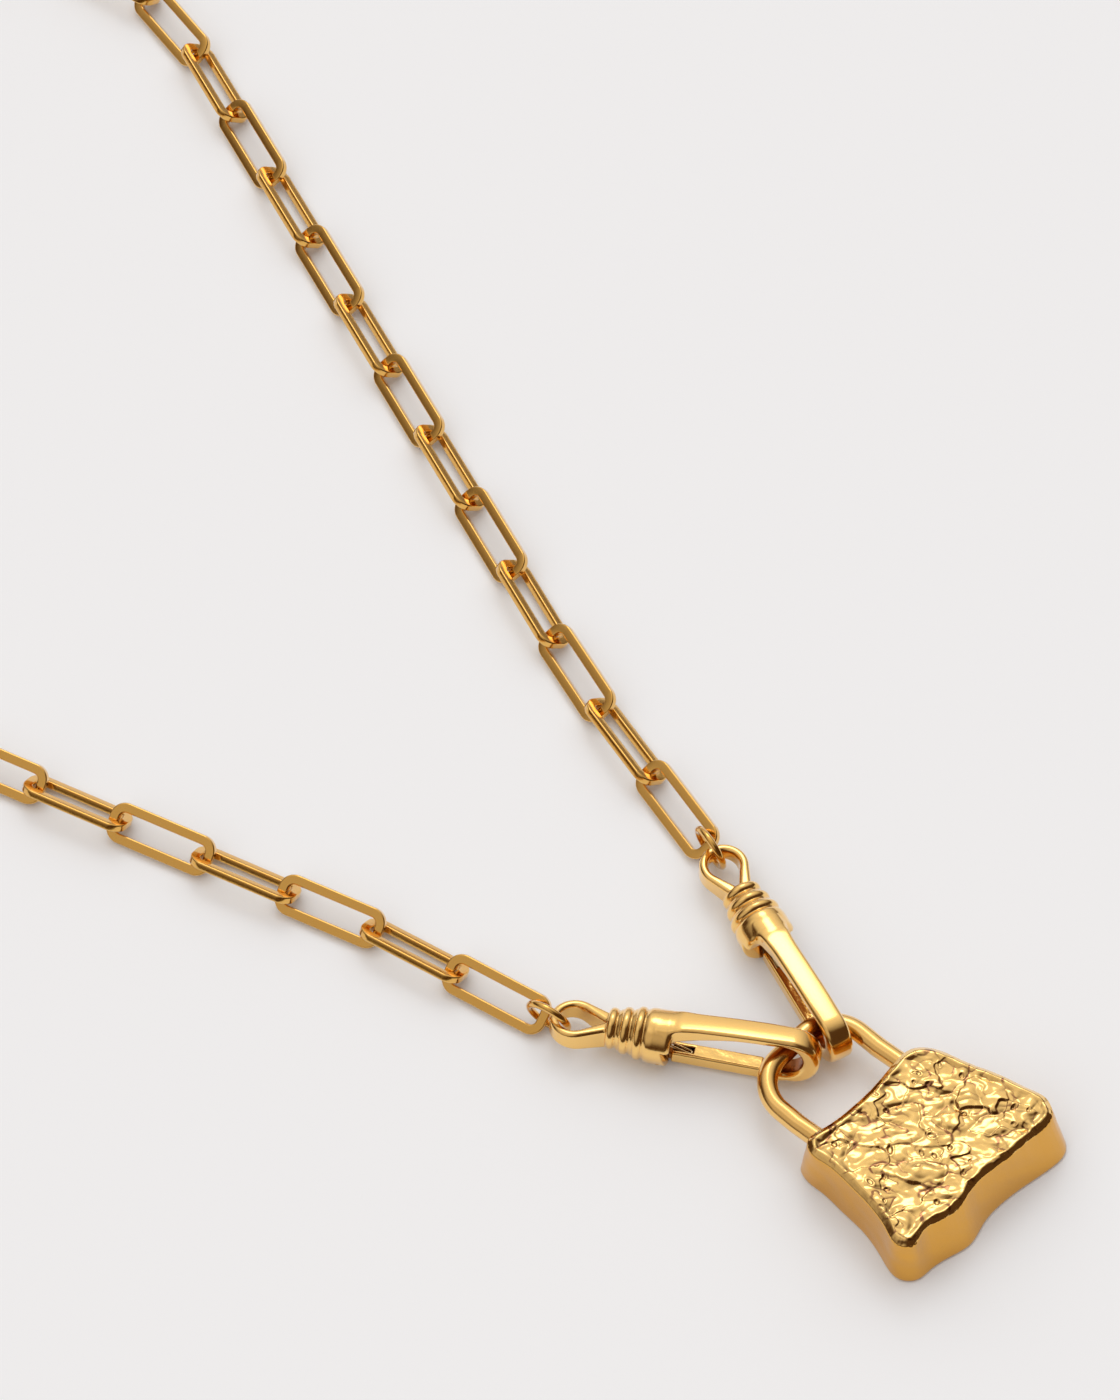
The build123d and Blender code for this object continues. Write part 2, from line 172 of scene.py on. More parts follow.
shackle_bend = 9.9
shackle_step = 0.14
solder_foot = 6.75
solder_reach = 0.75
solder_width = 0.22

# Padlock: the crumple of its front, and the grid that carries it
plate_size = 2.5
plate_stretch = 1.4
plate_rise = 0.12
plate_tilt = 0.05
plate_step = 0.2
fold_layers = [
    # seed, size, stretch, rise, width of the dark line of painted shade, strength where the front is calm
    (101, 2.5, 1.45, 0.33, 0.13, 1.0),
    (131, 1.35, 1.25, 0.17, 0.10, 0.45),
]
pit_count = 40
pit_reach = 9.5, 7.0
pit_radii = 0.14, 0.30
pit_stretches = 1.0, 2.0
relief_depth = 0.75
relief_crown = 0.02
half_rings = 112
curve_steps = 100
side_corners = (0, 5.5, 10.5, 19.3, len(body_outline))


# Noise and small helpers
def smoothstep(low, high, value):
    """0 below low, 1 above high, with a soft turn at both."""
    share = np.clip((value - low) / (high - low), 0, 1)
    return share * share * (3 - 2 * share)


def noise(x, y, seed):
    """Smooth gradient noise from about -1 to 1, one bump a unit."""
    repeat = 128
    turns = np.random.RandomState(seed).uniform(0, 2 * np.pi, (repeat, repeat))
    i, j = np.floor(x).astype(int), np.floor(y).astype(int)
    u, v = x - i, y - j

    def corner(a, b):
        angle = turns[(i + a) % repeat, (j + b) % repeat]
        return np.cos(angle) * (u - a) + np.sin(angle) * (v - b)

    s, t = (w * w * w * (w * (6 * w - 15) + 10) for w in (u, v))
    low = corner(0, 0) * (1 - s) + corner(1, 0) * s
    high = corner(0, 1) * (1 - s) + corner(1, 1) * s
    return 1.6 * (low * (1 - t) + high * t)


def faces_outwards(mesh):
    """Turns every face of a mesh outwards and shades it smooth."""
    shell = bmesh.new()
    shell.from_mesh(mesh)
    bmesh.ops.recalc_face_normals(shell, faces=shell.faces)
    shell.to_mesh(mesh)
    shell.free()
    mesh.shade_smooth()


def in_scene(name, data):
    """A new object in the scene, with the given mesh or camera."""
    thing = bpy.data.objects.new(name, data)
    bpy.context.scene.collection.objects.link(thing)
    return thing


def new_piece(name, points, faces):
    """A mesh object from points in millimetres."""
    mesh = bpy.data.meshes.new(name)
    mesh.from_pydata((np.asarray(points) * MM).tolist(), [], [list(map(int, face)) for face in faces])
    mesh.validate()
    faces_outwards(mesh)
    return in_scene(name, mesh)


def point_values(piece, name, values):
    """Stores one number for each point of a piece, for its material to read."""
    layer = piece.data.attributes.new(name, "FLOAT", "POINT")
    layer.data.foreach_set("value", np.asarray(values, np.float32))


def paint(piece, material):
    """Gives a piece its one material."""
    piece.data.materials.clear()
    piece.data.materials.append(material)


def finish_piece(piece, body, slot, material, *nodes):
    """Dresses a piece and lets it stand for its CAD nodes."""
    paint(piece, material)
    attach(piece, body)
    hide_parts(*nodes)


def node_points(name):
    """The points of a CAD node, in metres."""
    mesh = frame["nodes"][name].data
    flat = np.zeros(len(mesh.vertices) * 3, np.float32)
    mesh.vertices.foreach_get("co", flat)
    return flat.reshape(-1, 3).astype(float)


# Nodes of shaders and shapes
def fill(tree, node, values):
    """Gives a node's inputs their numbers or colours, or joins them to other nodes' outputs."""
    for name, value in values.items():
        if isinstance(value, bpy.types.NodeSocket):
            tree.links.new(value, node.inputs[name])
        else:
            node.inputs[name].default_value = value


def add_node(tree, kind, values=None, **settings):
    """A node with its properties set and its inputs filled."""
    node = tree.nodes.new(kind)
    for name, value in settings.items():
        setattr(node, name, value)
    fill(tree, node, values or {})
    return node


def maths(tree, operation, *values, clamp=False):
    """The result of a Math node on sockets or numbers."""
    node = add_node(tree, "ShaderNodeMath", dict(enumerate(values)), operation=operation, use_clamp=clamp)
    return node.outputs[0]


def vector_maths(tree, operation, values):
    """A Vector Math node with its inputs filled."""
    return add_node(tree, "ShaderNodeVectorMath", values, operation=operation)


def mixed_colour(tree, share, first, second):
    """A colour between two, each a socket or a colour."""
    values = {"Factor": share, 6: first, 7: second}
    return add_node(tree, "ShaderNodeMix", values, data_type="RGBA").outputs[2]


def mapped(tree, value, low, high, result, profile):
    """A number that climbs from 0 to the result while the value climbs from low to high."""
    values = {"Value": value, "From Min": low, "From Max": high, "To Min": 0.0, "To Max": result}
    return add_node(tree, "ShaderNodeMapRange", values, interpolation_type=profile).outputs["Result"]


def noise_texture(tree, scale, detail):
    """Noise on the object's own coordinates, from 0 to 1."""
    where = add_node(tree, "ShaderNodeTexCoord").outputs["Object"]
    values = {"Vector": where, "Scale": scale, "Detail": detail}
    return add_node(tree, "ShaderNodeTexNoise", values).outputs["Fac"]


def point_mask(tree, name):
    """The numbers stored on a piece's points."""
    return add_node(tree, "ShaderNodeAttribute", attribute_name=name).outputs["Fac"]


def group(name, family, inputs, outputs):
    """An empty group of nodes with its named sockets, what its inputs give, and its output node."""
    tree = bpy.data.node_groups.new(name, family)
    for socket, kind, *value in inputs:
        made = tree.interface.new_socket(socket, in_out="INPUT", socket_type="NodeSocket" + kind)
        if value:
            made.default_value = value[0]
    for socket, kind in outputs:
        tree.interface.new_socket(socket, in_out="OUTPUT", socket_type="NodeSocket" + kind)
    return tree, tree.nodes.new("NodeGroupInput").outputs, tree.nodes.new("NodeGroupOutput")


# Gold: two shared shader groups, whose scales are bumps in a metre, and the finishes made with them
def polish_group():
    """Hand polish: slow waves, fine tumbling marks and patches of softer shine."""
    tree, given, put = group(
        "hand polish", "ShaderNodeTree",
        [("Wave Scale", "Float", 300.0), ("Grain Scale", "Float", 4000.0), ("Grain Share", "Float", 0.3),
         ("Shine", "Float", 0.14), ("Shine Spread", "Float", 0.08)],
        [("Height", "Float"), ("Roughness", "Float")],
    )
    waves = noise_texture(tree, given["Wave Scale"], 2.0)
    grain = noise_texture(tree, given["Grain Scale"], 3.0)
    height = maths(tree, "MULTIPLY_ADD", grain, given["Grain Share"], waves)
    roughness = maths(tree, "MULTIPLY_ADD", waves, given["Shine Spread"], given["Shine"])
    fill(tree, put, {"Height": height, "Roughness": roughness})
    return tree


def tone_group():
    """Gold in its polished or its satin tone, deeper in creases and drifting slowly over the surface. The
    satin tone and the crease deepening are painted shade.
    """
    tree, given, put = group(
        "gold tone", "ShaderNodeTree",
        [("Bright", "Color", (1, 1, 1, 1)), ("Deep", "Color", (0.5, 0.5, 0.5, 1)),
         ("Satin", "Color", (0.9, 0.5, 0.1, 1)), ("Crease", "Float", 0.0), ("Unpolished", "Float", 0.0),
         ("Drift", "Float", 0.2), ("Drift Scale", "Float", 120.0)],
        [("Color", "Color")],
    )
    patches = noise_texture(tree, given["Drift Scale"], 2.0)
    drift = maths(tree, "MULTIPLY", patches, given["Drift"])
    # Painted shade: creases pull the colour towards the deep tone.
    deepening = maths(tree, "ADD", drift, given["Crease"], clamp=True)
    # Painted shade: the satin tone darkens hollows and sides.
    surface = mixed_colour(tree, given["Unpolished"], given["Bright"], given["Satin"])
    fill(tree, put, {"Color": mixed_colour(tree, deepening, surface, given["Deep"])})
    return tree


hand_polish = polish_group()
gold_tone = tone_group()
polish_depth = 0.00001
lacquer = 0.95
lacquer_index = 1.65
lacquer_roughness = 0.08
satin_roughness = 0.12
satin_bareness = 0.85


def gold(name, bright, deep, shine, spread, waves=300.0, drift=0.12, crease_shaded=False, satin_and_shade=None):
    """A gold finish under a thin clear lacquer. Its satin tone, if it has one, is for unpolished places, and
    its colour there is painted shade.
    """
    material = bpy.data.materials.new(name)
    material.use_nodes = True
    tree = material.node_tree
    shader = tree.nodes["Principled BSDF"]
    polish = add_node(tree, "ShaderNodeGroup", {"Wave Scale": waves, "Shine": shine, "Shine Spread": spread},
                      node_tree=hand_polish)
    tone = add_node(tree, "ShaderNodeGroup", {"Bright": (*bright, 1), "Deep": (*deep, 1), "Drift": drift},
                    node_tree=gold_tone)
    relief = {"Height": polish.outputs["Height"], "Distance": polish_depth, "Strength": 1.0}
    fill(tree, shader, {
        "Base Color": tone.outputs["Color"],
        "Roughness": polish.outputs["Roughness"],
        "Normal": add_node(tree, "ShaderNodeBump", relief).outputs["Normal"],
        "Metallic": 1.0,
        "Coat Weight": lacquer,
        "Coat IOR": lacquer_index,
        "Coat Roughness": lacquer_roughness,
    })
    if satin_and_shade:
        # Satin mask: rougher and less lacquered, and its colour is painted shade in hollows and on sides.
        bare_and_shaded = point_mask(tree, "satin_and_shade")
        fill(tree, tone, {"Satin": (*satin_and_shade, 1), "Unpolished": bare_and_shaded})
        fill(tree, shader, {
            "Roughness": maths(tree, "MULTIPLY_ADD", bare_and_shaded, satin_roughness, polish.outputs["Roughness"]),
            "Coat Weight": maths(tree, "MULTIPLY_ADD", bare_and_shaded, -satin_bareness * lacquer, lacquer),
        })
    # Crease mask: painted shade in the creases.
    if crease_shaded:
        fill(tree, tone, {"Crease": point_mask(tree, "crease_shade")})
    return material


# The padlock's satin tone is painted shade on its sides and its rim's edge, and its deep tone is painted
# shade in the creases of its front.
padlock_gold = gold("padlock_gold", (1.0, 0.635, 0.175), (0.30, 0.10, 0.014), shine=0.07, spread=0.05,
                    waves=900.0, drift=0.06, crease_shaded=True, satin_and_shade=(0.78, 0.40, 0.065))
shackle_gold = gold("shackle_gold", (0.98, 0.59, 0.15), (0.72, 0.36, 0.06), shine=0.13, spread=0.08,
                    waves=260.0)
# The clip's and gate's satin tones are painted shade, near black, in the hook's hole, under the strap and in
# the slots.
clip_gold = gold("clip_gold", (0.99, 0.61, 0.16), (0.72, 0.36, 0.06), shine=0.12, spread=0.08,
                 waves=240.0, satin_and_shade=(0.30, 0.08, 0.012))
gate_gold = gold("gate_gold", (0.98, 0.60, 0.15), (0.66, 0.34, 0.06), shine=0.13, spread=0.08,
                 waves=500.0, satin_and_shade=(0.20, 0.06, 0.01))
chain_gold = gold("chain_gold", (0.84, 0.46, 0.07), (0.58, 0.27, 0.03), shine=0.10, spread=0.1)
spring_bright = gold("spring_bright", (1.0, 0.78, 0.38), (0.8, 0.5, 0.18), shine=0.12, spread=0.05)


# Chain and jump rings: Geometry Nodes
def geometry_tree(name, sizes):
    """An empty group of Geometry Nodes with its named sizes, what its inputs give, and its output node."""
    inputs = [("Geometry", "Geometry"), *((size, "Float") for size in sizes), ("Metal", "Material")]
    return group(name, "GeometryNodeTree", inputs, [("Geometry", "Geometry")])


def placed_copies(tree, given, put, shape):
    """The shape on every point, turned by the point's own run and face, with its metal."""
    axes = [add_node(tree, "GeometryNodeInputNamedAttribute", {"Name": name}, data_type="FLOAT_VECTOR")
            for name in ("run", "face")]
    turns = add_node(tree, "FunctionNodeAxesToRotation", {k: axes[k].outputs["Attribute"] for k in (0, 1)},
                     primary_axis="X", secondary_axis="Z")
    copies = add_node(tree, "GeometryNodeInstanceOnPoints", {
        "Points": given["Geometry"], "Instance": shape, "Rotation": turns.outputs[0]})
    real = add_node(tree, "GeometryNodeRealizeInstances", {0: copies.outputs[0]})
    metal = add_node(tree, "GeometryNodeSetMaterial", {
        "Geometry": real.outputs[0], "Material": given["Metal"]})
    fill(tree, put, {0: metal.outputs[0]})


def rounded_box_curve(tree, length, width, radius, count):
    """A rectangle's outline with round corners, as a poly curve."""
    sides = {"Width": length, "Height": width}
    box = add_node(tree, "GeometryNodeCurvePrimitiveQuadrilateral", sides, mode="RECTANGLE")
    corners = {"Curve": box.outputs[0], "Count": count, "Radius": radius}
    return add_node(tree, "GeometryNodeFilletCurve", corners, mode="POLY").outputs[0]


def wire_along(tree, path, section):
    """A section swept along a path."""
    return add_node(tree, "GeometryNodeCurveToMesh", {"Curve": path, "Profile Curve": section}).outputs[0]


def link_tree():
    """Paperclip links: a flat band with small bevels, bent to a rounded rectangle."""
    sizes = ("Length", "Width", "Band", "Thickness", "Corner", "Bevel")
    tree, given, put = geometry_tree("paperclip links", sizes)
    band = given["Band"]
    long_side = maths(tree, "SUBTRACT", given["Length"], band)
    short_side = maths(tree, "SUBTRACT", given["Width"], band)
    turn = maths(tree, "SUBTRACT", given["Corner"], maths(tree, "MULTIPLY", band, 0.5))
    path = rounded_box_curve(tree, long_side, short_side, turn, 10)
    upright = add_node(tree, "GeometryNodeSetCurveNormal", {"Curve": path}, mode="Z_UP")
    section = rounded_box_curve(tree, band, given["Thickness"], given["Bevel"], 2)
    placed_copies(tree, given, put, wire_along(tree, upright.outputs[0], section))
    return tree


def ring_tree():
    """Soldered jump rings of round wire."""
    tree, given, put = geometry_tree("jump rings", ("Ring", "Wire"))
    circles = []
    for size, points in (("Ring", 72), ("Wire", 20)):
        values = {"Resolution": points, "Radius": given[size]}
        circles.append(add_node(tree, "GeometryNodeCurvePrimitiveCircle", values, mode="RADIUS").outputs[0])
    placed_copies(tree, given, put, wire_along(tree, *circles))
    return tree


def made_by_tree(name, tree, spots, runs, faces, sizes, metal):
    """A piece made by a tree, whose shape stands on every spot. The spots are in metres."""
    mesh = bpy.data.meshes.new(name)
    mesh.from_pydata([tuple(spot) for spot in spots], [], [])
    for label, values in (("run", runs), ("face", faces)):
        layer = mesh.attributes.new(label, "FLOAT_VECTOR", "POINT")
        layer.data.foreach_set("vector", np.asarray(values, np.float32).ravel())
    piece = in_scene(name, mesh)
    modifier = piece.modifiers.new("copies", "NODES")
    modifier.node_group = tree
    for item in tree.interface.items_tree:
        if item.in_out == "INPUT" and item.name in sizes:
            modifier[item.identifier] = sizes[item.name] * MM
        if item.in_out == "INPUT" and item.name == "Metal":
            modifier[item.identifier] = metal
    bpy.context.view_layer.update()
    ready = piece.evaluated_get(bpy.context.evaluated_depsgraph_get())
    made = bpy.data.meshes.new_from_object(ready)
    piece.modifiers.remove(modifier)
    piece.data = made
    made.name = name
    faces_outwards(made)
    return piece


def keep_flats(piece):
    """Lets large faces set the shading, so that flats stay flat beside their small bevels."""
    mesh = piece.data
    sums = np.zeros((len(mesh.vertices), 3))
    for face in mesh.polygons:
        sums[list(face.vertices)] += np.array(face.normal) * face.area
    sums /= np.linalg.norm(sums, axis=1)[:, None]
    mesh.normals_split_custom_set_from_vertices(sums.tolist())


def chain_links():
    """All links, each where its CAD node lies: level along its run, tipped left and right by turns."""
    names = [f"link_{number:02d}" for number in range(1, link_count + 1)]
    spots, runs, faces = [], [], []
    tip = math.radians(link_tilt)
    for name in names:
        points = node_points(name)
        spots.append((points.min(0) + points.max(0)) / 2)
        flat = points[:, :2] - points[:, :2].mean(0)
        run = np.linalg.eigh(flat.T @ flat)[1][:, 1]
        if runs and run @ runs[-1][:2] < 0 or not runs and run[1] < 0:
            run = -run
        runs.append((run[0], run[1], 0.0))
        faces.append((-run[1] * math.sin(tip), run[0] * math.sin(tip), math.cos(tip)))
        tip = -tip
    sizes = {"Length": link_length, "Width": link_width, "Band": link_band, "Thickness": link_thickness,
             "Corner": link_corner, "Bevel": link_bevel}
    piece = made_by_tree("chain_links", link_tree(), spots, runs, faces, sizes, chain_gold)
    keep_flats(piece)
    finish_piece(piece, "necklace", "chain_gold", chain_gold, *names)


def jump_rings():
    """The two rings between clip eyes and chain, each in its CAD node's plane."""
    sizes = {"Ring": (ring_inner + ring_wire) / 2, "Wire": ring_wire / 2}
    for side in ("left", "right"):
        points = node_points(f"jump_ring_{side}")
        middle = (points.min(0) + points.max(0)) / 2
        axes = np.linalg.eigh((points - middle).T @ (points - middle))[1]
        piece = made_by_tree(f"jump_ring_wire_{side}", ring_tree(), [middle], [axes[:, 2]], [axes[:, 0]],
                             sizes, chain_gold)
        finish_piece(piece, "necklace", "chain_gold", chain_gold, f"jump_ring_{side}")


# Cast shapes from distance fields, which are below zero inside the metal
def arc(centre, radius, start, turn, count):
    """Points on an arc, angles in degrees."""
    angles = np.radians(start + turn * np.linspace(0, 1, count))
    return [(centre[0] + radius * math.cos(a), centre[1] + radius * math.sin(a)) for a in angles]


def corner_cut(before, corner, after, radius):
    """A corner of a path: its spot, the ways in and out, its turn, and how far back an arc would begin."""
    before, corner, after = (np.array(p, float) for p in (before, corner, after))
    into = (corner - before) / np.linalg.norm(corner - before)
    out = (after - corner) / np.linalg.norm(after - corner)
    turn = math.acos(np.clip(into @ out, -1, 1))
    return corner, into, out, turn, radius * math.tan(turn / 2)


def eased_corner(before, corner, after, radius, count=6):
    """A short curve in a corner's place, which begins and ends where an arc of the radius would."""
    corner, into, out, _, cut = corner_cut(before, corner, after, radius)
    first, last = corner - into * cut, corner + out * cut
    shares = np.linspace(0, 1, count)
    return [tuple((1 - s) ** 2 * first + 2 * s * (1 - s) * corner + s * s * last) for s in shares]


def eased_path(knots, count):
    """Points on a smooth curve through a few knots."""
    knots = np.array(knots, float)
    ends = np.concatenate([[2 * knots[0] - knots[1]], knots, [2 * knots[-1] - knots[-2]]])
    points = []
    for a, b, c, d in zip(ends, ends[1:], ends[2:], ends[3:]):
        for s in np.linspace(0, 1, count, endpoint=False):
            points.append(0.5 * (2 * b + (c - a) * s + (2 * a - 5 * b + 4 * c - d) * s ** 2
                                 + (3 * b - a - 3 * c + d) * s ** 3))
    return [tuple(p) for p in points] + [tuple(knots[-1])]


def line_sides(line):
    """Both ends of each side of a closed line, except sides without length."""
    for (ax, ay), (bx, by) in zip(line, np.roll(line, -1, 0)):
        if (bx - ax) ** 2 + (by - ay) ** 2 >= 1e-12:
            yield ax, ay, bx, by


def line_distance(x, y, line):
    """Distance of points from a closed line."""
    nearest = np.full(x.shape, np.inf)
    for ax, ay, bx, by in line_sides(line):
        run = (bx - ax) ** 2 + (by - ay) ** 2
        share = np.clip(((x - ax) * (bx - ax) + (y - ay) * (by - ay)) / run, 0, 1)
        nearest = np.minimum(nearest, (x - ax - share * (bx - ax)) ** 2 + (y - ay - share * (by - ay)) ** 2)
    return np.sqrt(nearest)


def outline_field(outline, step=0.02, margin=0.8):
    """A function of x and z: the distance from a closed outline, below zero inside, read from a grid."""
    outline = np.array(outline, float)
    low, high = outline.min(0) - margin, outline.max(0) + margin
    xs, zs = (np.arange(a, b + step, step) for a, b in zip(low, high))
    x, z = (g.ravel() for g in np.meshgrid(xs, zs, indexing="ij"))
    inside = np.zeros(x.shape, bool)
    for ax, az, bx, bz in line_sides(outline):
        if az != bz:
            inside ^= ((az > z) != (bz > z)) & (x < (bx - ax) * (z - az) / (bz - az) + ax)
    table = (line_distance(x, z, outline) * np.where(inside, -1, 1)).reshape(len(xs), len(zs))

    def field(px, pz):
        u = np.clip((px - low[0]) / step, 0, len(xs) - 1.001)
        v = np.clip((pz - low[1]) / step, 0, len(zs) - 1.001)
        i, j = u.astype(int), v.astype(int)
        s, t = u - i, v - j
        left = table[i, j] * (1 - t) + table[i, j + 1] * t
        right = table[i + 1, j] * (1 - t) + table[i + 1, j + 1] * t
        beyond = np.hypot(px - np.clip(px, low[0], high[0]), pz - np.clip(pz, low[1], high[1]))
        return left * (1 - s) + right * s + beyond

    return field


def rounded(a, b, soft):
    """What two fields have in common, both raised by the softness, with the edge between them rounded."""
    return np.minimum(np.maximum(a, b), 0) + np.hypot(np.maximum(a, 0), np.maximum(b, 0)) - soft


def slab(flat, depth, half, soft):
    """A flat outline given thickness, its edges rounded."""
    return rounded(flat + soft, np.abs(depth) - half + soft, soft)


def join_soft(a, b, blend):
    """Two solids run together with a soft fillet."""
    share = np.maximum(blend - np.abs(a - b), 0) / blend
    return np.minimum(a, b) - share * share * blend / 4


def cut_soft(a, b, blend):
    """Solid a without b, its new edges eased."""
    return -join_soft(-a, b, blend)


def overlap(*fields):
    """What several solids have in common."""
    return np.maximum.reduce(fields)


def hull_field(x, y, first, first_radius, last, last_radius):
    """Distance from the hull of two circles on the x axis."""
    run = last - first
    slope = (first_radius - last_radius) / run
    level = math.sqrt(1 - slope * slope)
    px, py = x - first, np.abs(y)
    along = px * level - py * slope
    near = np.hypot(px, py) - first_radius
    far = np.hypot(px - run, py) - last_radius
    side = px * slope + py * level - first_radius
    return np.where(along < 0, near, np.where(along > run * level, far, side))


def skin(field, room, step):
    """Points and four-sided faces where a field crosses zero, the points pulled onto the surface."""
    low, high = room
    axes = [np.arange(a, b + step, step) for a, b in zip(low, high)]
    value = field(*np.meshgrid(*axes, indexing="ij"))
    inside = value < 0
    shape = np.array(value.shape)
    number = np.arange(shape.prod()).reshape(shape)
    sums, hits = np.zeros((shape.prod(), 3)), np.zeros(shape.prod())
    quads = []
    for axis in range(3):
        side_a, side_b = [a for a in range(3) if a != axis]
        first = [slice(None)] * 3
        last = [slice(None)] * 3
        first[axis], last[axis] = slice(0, -1), slice(1, None)
        crossing = inside[tuple(first)] != inside[tuple(last)]
        spots = np.argwhere(crossing)
        ahead = spots.copy()
        ahead[:, axis] += 1
        near, far = value[tuple(spots.T)], value[tuple(ahead.T)]
        point = spots.astype(float)
        point[:, axis] += near / (near - far)
        ring = []
        for back_a, back_b in ((0, 0), (1, 0), (1, 1), (0, 1)):
            cell = spots.copy()
            cell[:, side_a] -= back_a
            cell[:, side_b] -= back_b
            index = number[tuple(cell.T)]
            np.add.at(sums, index, point)
            np.add.at(hits, index, 1)
            ring.append(index)
        quads.append(np.stack(ring, 1))
    used = hits > 0
    points = sums[used] / hits[used][:, None] * step + np.array(low)
    rename = np.cumsum(used) - 1
    quads = rename[np.concatenate(quads)]
    small = step * 0.1
    least_slope = 0.3
    for _ in range(4):
        here = field(*points.T)
        slope = np.stack([
            (field(*(points + offset).T) - field(*(points - offset).T)) / (2 * small)
            for offset in np.eye(3) * small
        ], 1)
        move = here[:, None] * slope / np.maximum((slope ** 2).sum(1), least_slope)[:, None]
        points -= np.clip(move, -step / 2, step / 2)
    return points, quads


# Clips
def into_place(points, side):
    """Points of a clip's own frame, moved to where its gate's hinge in the record says that the clip lies."""
    joint = [j for j in frame["joints"] if j["name"] == f"gate_{side}_hinge"][0]
    across = -np.array(joint["axis"], float)
    along = np.cross(across, (0, 0, 1))
    along /= np.linalg.norm(along)
    if along[1] > 0:
        along = -along
    up = np.cross(along, across)
    if up[2] < 0:
        across, up = -across, -up
    origin = np.array(joint["pos_m"], float) / MM - along * pin_x + up * pin_drop
    return origin + points @ np.stack([along, across, up])


def strap_top(x):
    """Height of the strap's upper side, an even bow from the collar to the bend."""
    lift = math.radians(strap_lift)
    bend_start = hook_x - hook_outer * math.sin(lift)
    bend_top = hook_height + hook_outer * math.cos(lift)
    reach = bend_start - strap_start
    bow = bend_top - strap_root - math.tan(lift) * reach
    return bend_top - math.tan(lift) * (bend_start - x) - bow * ((bend_start - x) / reach) ** 2


def strap_outline():
    """Side outline of strap, hook and nose."""
    bend = arc((hook_x, hook_height), hook_outer, 90 + strap_lift, -(180 + strap_lift + nose_turn), 60)
    hole = arc((hole_x, hook_height), hook_inner, -90, 180 + hole_lift, 48)
    under = [hole[-1]]
    for share, thickness in strap_sections:
        x = collar_end + gate_length * share
        under.append((x, strap_top(x) - thickness))
    nose_low = (gate_end + nose_gap, -gate_bottom + 0.02)
    nose_high = (gate_end + nose_gap, -gate_top)
    points = [(x, strap_top(x)) for x in np.linspace(strap_start, bend[0][0], 40)] + bend[1:]
    points += eased_corner(bend[-1], nose_low, nose_high, nose_soft)
    points += eased_corner(nose_low, nose_high, hole[0], nose_tip_soft)
    points += hole[:-1] + eased_path(under, 12)
    return points + [(strap_start, 0.0)]


def bead_outline():
    """Outline of beads and collar through the axis, grooves and edges eased."""
    xs = np.linspace(0, collar_end, 245)
    radius = np.zeros(len(xs))
    for index in range(bead_count):
        crest = bead_first + index * bead_step
        start = index * bead_pitch
        step = start + bead_pitch * bead_share
        valley = crest - bead_groove
        spans = ((start, step, valley, crest, valley),
                 (step, start + bead_pitch, valley, crest - bead_groove * narrow_drop, valley + bead_step))
        for first, last, low, top, end in spans:
            share = np.clip((xs - first) / (last - first), 0, 1)
            bow = top - (low + end) / 2
            curve = low + (end - low) * share + bow * (1 - (2 * share - 1) ** 2) ** bead_fullness
            radius = np.where((xs >= first) & (xs <= last), curve, radius)
    rise = smoothstep(beads_length - 0.05, beads_length + collar_round, xs)
    shoulder = radius[np.searchsorted(xs, beads_length) - 1]
    radius = np.where(xs >= beads_length, shoulder + (collar_radius - shoulder) * rise ** 0.6, radius)
    end = np.clip((xs - collar_end + collar_round) / collar_round, 0, 1)
    radius = np.where(xs > collar_end - collar_round, collar_radius - collar_round / 2 * end ** 2.4, radius)
    reach, softness = 6, 1.3
    weights = np.exp(-0.5 * (np.arange(-reach, reach + 1) / softness) ** 2)
    radius = np.convolve(np.pad(radius, reach, mode="edge"), weights / weights.sum(), "valid")
    upper = list(zip(xs, radius))
    return upper + [(x, -r) for x, r in reversed(upper)]


strap_side = outline_field(strap_outline())
bead_side = outline_field(bead_outline())


def eye_field(x, y, z):
    """The teardrop eye, a flat band that thins towards its tip."""
    loop = eye_width / 2
    outer = hull_field(x, y, loop - eye_length, loop, bead_pitch / 2, eye_band)
    inner = hull_field(x, y, loop - eye_length, loop - eye_band, -eye_band / 2, eye_band / 8)
    rise = np.clip((x + eye_length) / (bead_pitch + eye_length), 0, 1)
    half = (eye_tip_height + (eye_height - eye_tip_height) * rise) / 2
    return slab(np.maximum(outer, -inner), z + eye_drop, half, eye_soft)


def beads_field(x, y, z):
    """Beads and collar, whose lower end is cut at a slant."""
    beads = bead_side(x, np.hypot(y, z))
    slant_rise = slot_ceiling + collar_radius
    slanted_end = ((x - collar_end) * slant_rise + collar_slant * (z + collar_radius))
    slanted_end = slanted_end / math.hypot(slant_rise, collar_slant)
    return cut_soft(beads, np.maximum(-slanted_end, z - slot_ceiling), 0.16)


def strap_field(x, y, z):
    """Strap, hook and nose: a flat strip, a little crowned, wider at the collar and seated on it."""
    shoulder = shoulder_width / 2 * (1 - smoothstep(strap_start, strap_start + shoulder_reach, x))
    soft = strap_soft + (hook_soft - strap_soft) * smoothstep(hook_x - 3, hook_x, x)
    half = strap_width / 2 + shoulder
    strap = slab(strap_side(x, z) + strap_crown * (y / half) ** 2, y, half, soft)
    swell = collar_radius + strap_seat + 0.5 * np.maximum(x - collar_end + 0.3, 0)
    return cut_soft(strap, swell - np.hypot(y, z), 0.3)


